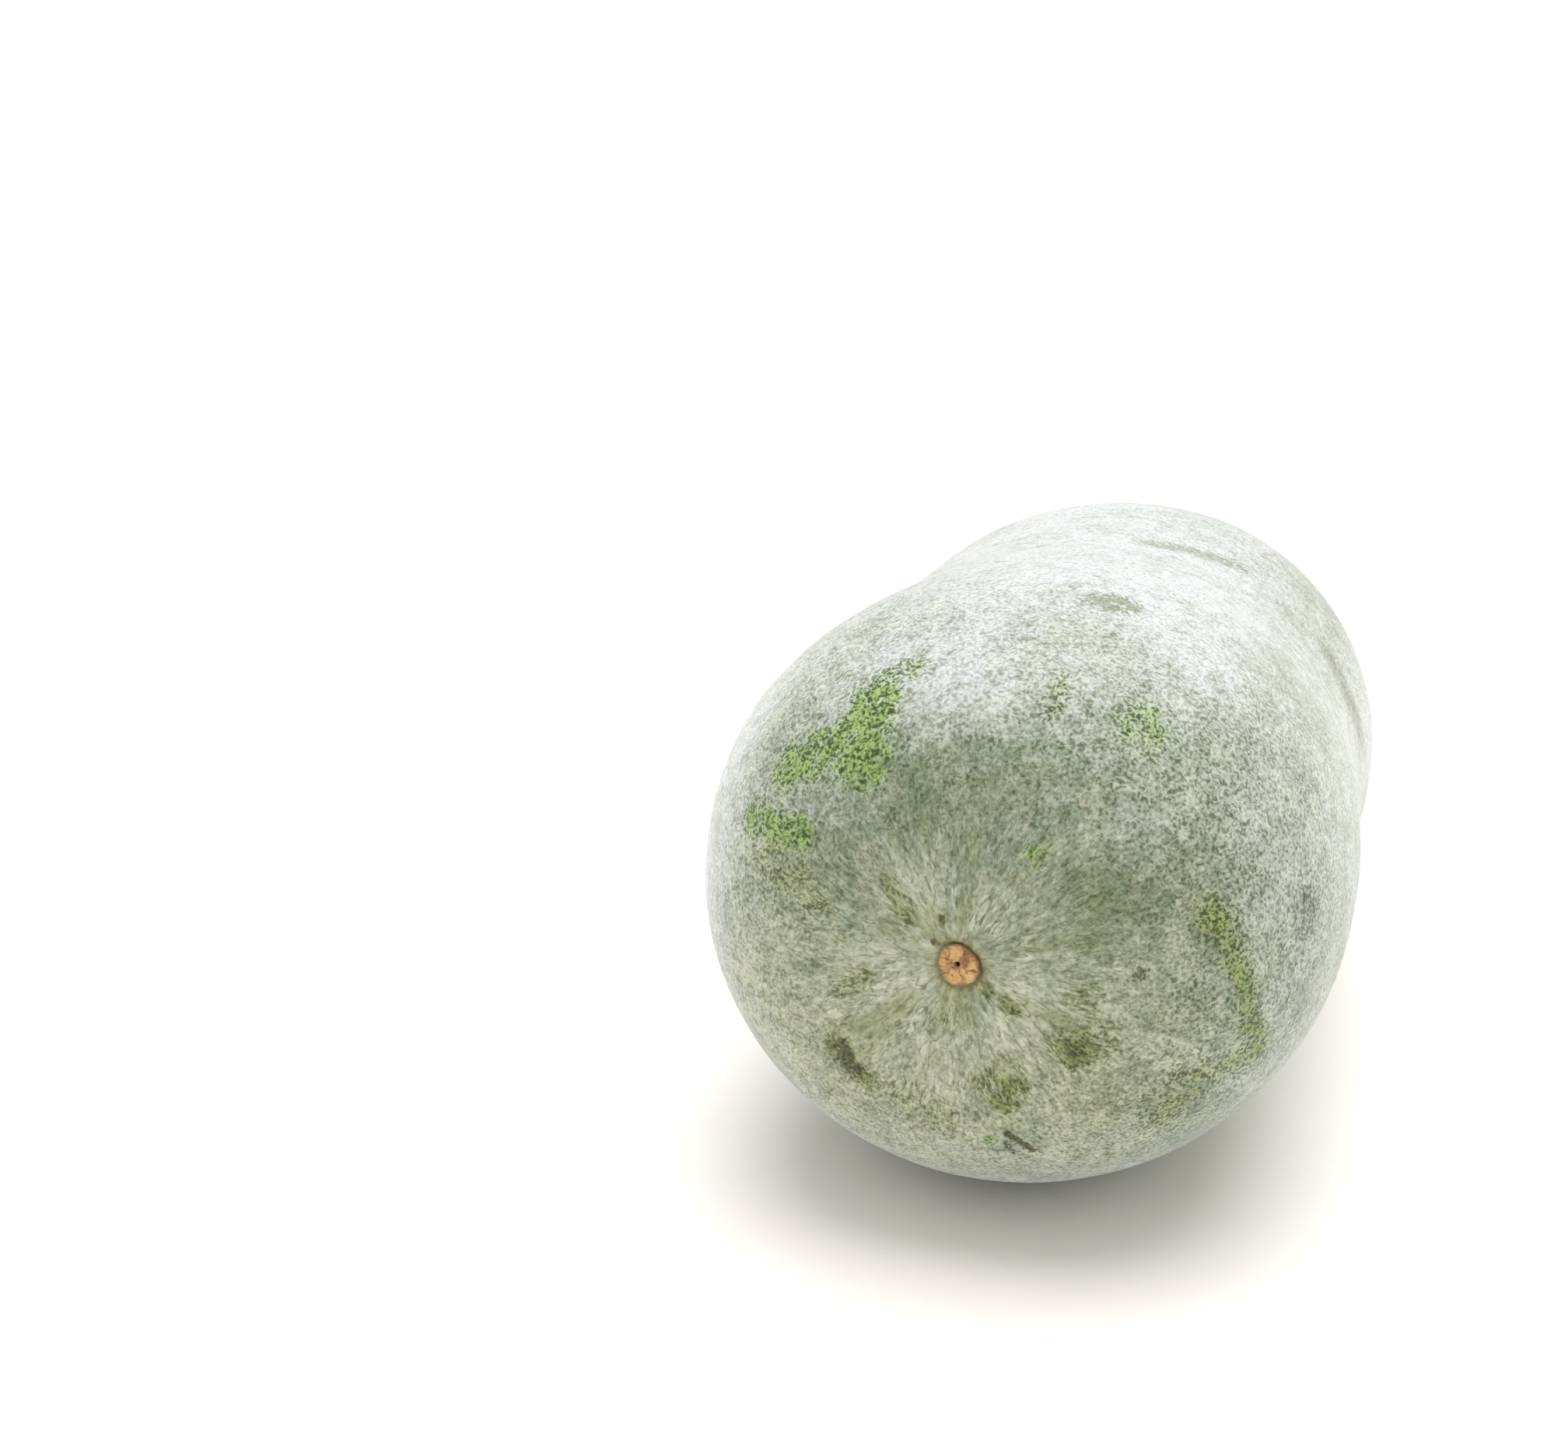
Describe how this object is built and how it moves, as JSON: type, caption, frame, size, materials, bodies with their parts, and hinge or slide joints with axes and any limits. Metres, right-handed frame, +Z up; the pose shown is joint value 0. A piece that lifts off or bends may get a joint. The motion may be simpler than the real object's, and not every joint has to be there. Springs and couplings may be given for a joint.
{
  "type": "wax gourd",
  "caption": "Blunt oblong wax gourd (winter melon) lying on its side, waxy green rind with a corky blossom scar at one end and a cut stub of stem in a shallow cavity at the other.",
  "frame": {"origin": "the middle of the base, on the surface that the fruit rests on", "axes": "+Y along the fruit from its blossom end to its stem end, +Z up, +X across it"},
  "size_m": [0.213, 0.3508, 0.2003],
  "materials": {
    "waxy_rind": "pale green rind under a dusty white wax bloom",
    "dry_stem": "dry ridged olive-brown stem with a greyish cut end"
  },
  "bodies": {
    "root": {"fruit": "waxy_rind", "stem": "dry_stem"}
  },
  "joints": []
}
